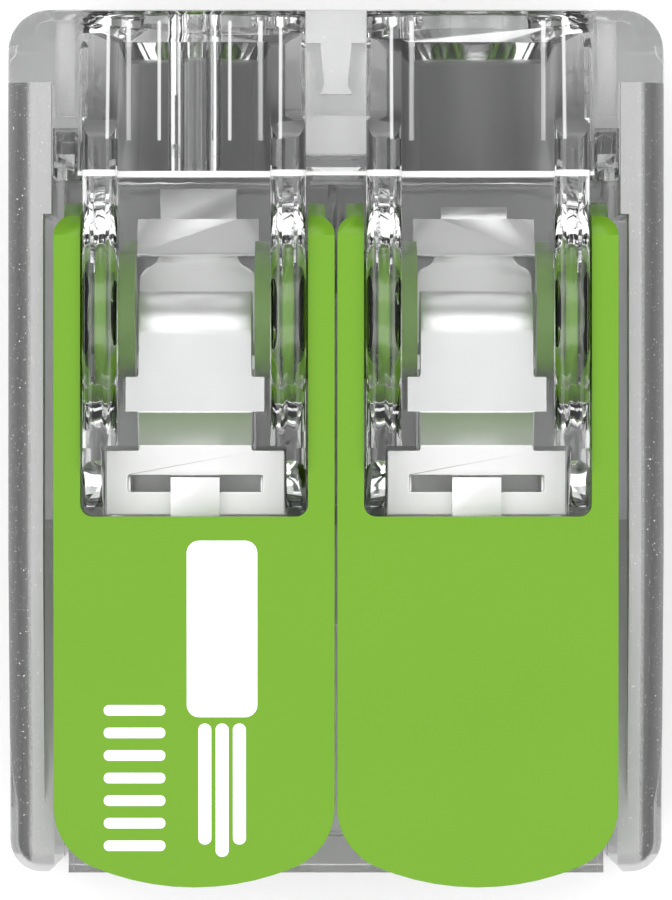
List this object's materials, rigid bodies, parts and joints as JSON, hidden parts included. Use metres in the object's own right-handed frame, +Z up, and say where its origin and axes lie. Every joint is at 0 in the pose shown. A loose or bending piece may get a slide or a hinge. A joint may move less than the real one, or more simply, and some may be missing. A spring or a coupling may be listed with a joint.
{
  "type": "lever wire connector",
  "caption": "Clear splicing connector with hinged levers over round wire entries, clamp springs on a shared current bar, and a test port above one entry.",
  "frame": {"origin": "centre of the overall bounding box in plan, on the flat base", "axes": "+Y from the wire entries to the lever tips, +Z up out of the base towards the levers, +X across the poles"},
  "size_m": [0.016, 0.0214, 0.0101],
  "materials": {
    "clear_shell": "polished and partly frosted clear polycarbonate",
    "clear_insert": "clear polycarbonate",
    "tinned_copper": "bright tin plate",
    "spring_steel": "bright spring steel",
    "green_lever": "satin moulded green plastic"
  },
  "bodies": {
    "housing": {"housing_shell": "clear_shell", "housing_insert": "clear_insert", "current_bar": "tinned_copper", "spring_left": "spring_steel", "spring_right": "spring_steel"},
    "lever_left": {"lever_left": "green_lever"},
    "clamp_left": {"clamp_leg_left": "spring_steel"},
    "lever_right": {"lever_right": "green_lever"},
    "clamp_right": {"clamp_leg_right": "spring_steel"}
  },
  "joints": [
    {"name": "lever_left_hinge", "type": "hinge", "parent": "housing", "child": "lever_left", "pos_m": [-0.00345, -0.00327, 0.0069], "axis": [1, 0, 0], "range_deg": [0, 95]},
    {"name": "clamp_left_bend", "type": "hinge", "parent": "housing", "child": "clamp_left", "pos_m": [-0.00345, -0.00275, 0.0069], "axis": [1, 0, 0], "range_deg": [0, 40]},
    {"name": "lever_right_hinge", "type": "hinge", "parent": "housing", "child": "lever_right", "pos_m": [0.00345, -0.00327, 0.0069], "axis": [1, 0, 0], "range_deg": [0, 95]},
    {"name": "clamp_right_bend", "type": "hinge", "parent": "housing", "child": "clamp_right", "pos_m": [0.00345, -0.00275, 0.0069], "axis": [1, 0, 0], "range_deg": [0, 40]}
  ],
  "couplings": [
    {"joint": "clamp_left_bend", "follows": "lever_left_hinge", "ratio": 0.42},
    {"joint": "clamp_right_bend", "follows": "lever_right_hinge", "ratio": 0.42}
  ]
}
